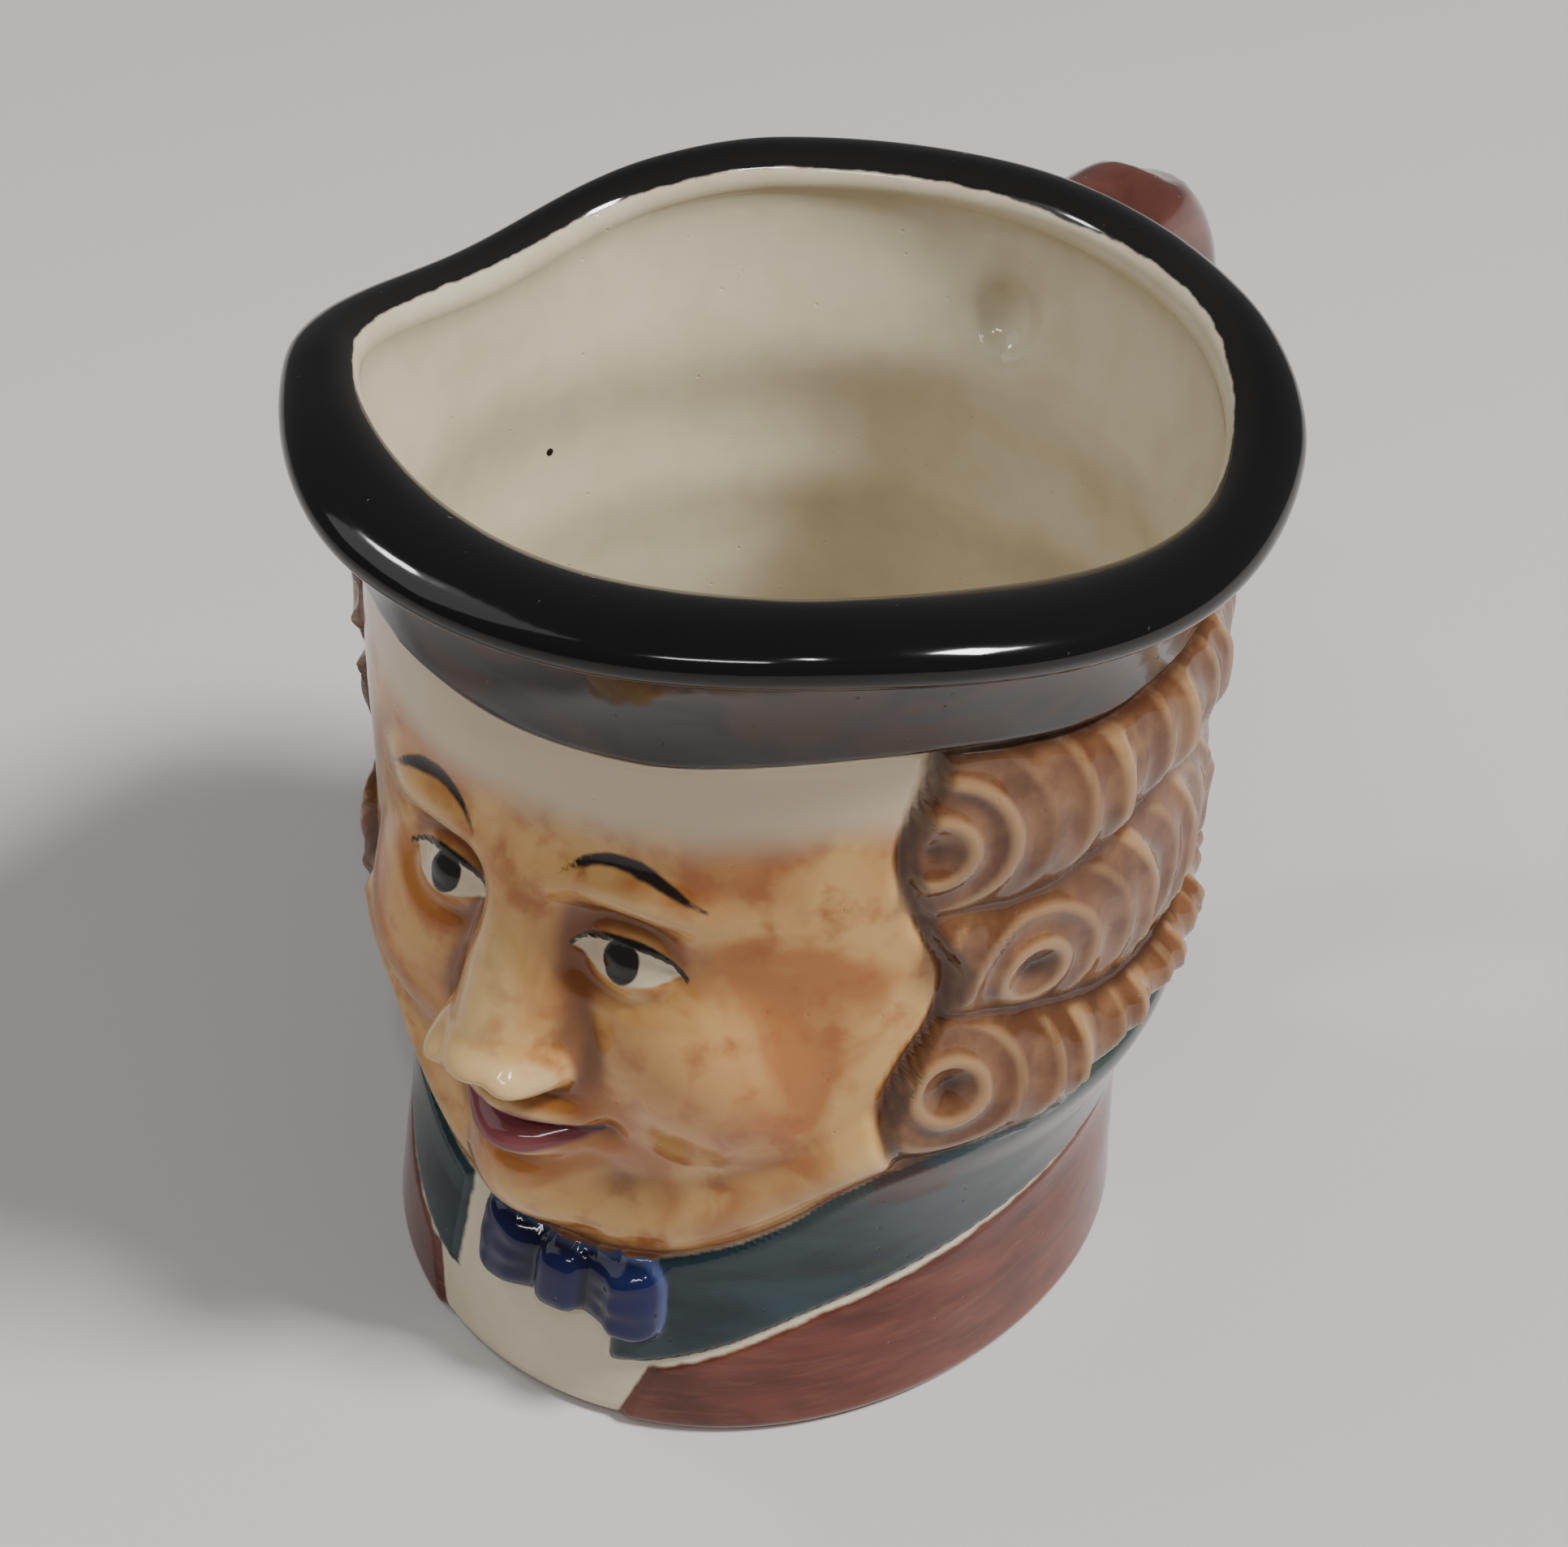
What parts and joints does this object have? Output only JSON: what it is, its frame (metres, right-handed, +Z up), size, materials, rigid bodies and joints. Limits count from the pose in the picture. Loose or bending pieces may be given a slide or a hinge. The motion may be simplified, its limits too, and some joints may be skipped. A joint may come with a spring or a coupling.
{
  "type": "toby jug",
  "caption": "Small glazed earthenware head jug: a curly-haired figure in a hat whose rolled brim is the rim, hollow inside, with a loop handle behind.",
  "frame": {"origin": "on the table under the axis of the head, where the foot rests", "axes": "+Z up, -Y the way the face looks, +Y towards the handle, +X the figure's left-hand side"},
  "size_m": [0.0813, 0.1176, 0.0897],
  "materials": {
    "toby_jug": "hand-painted under a clear gloss glaze"
  },
  "bodies": {
    "root": {"toby_jug": "toby_jug"}
  },
  "joints": []
}
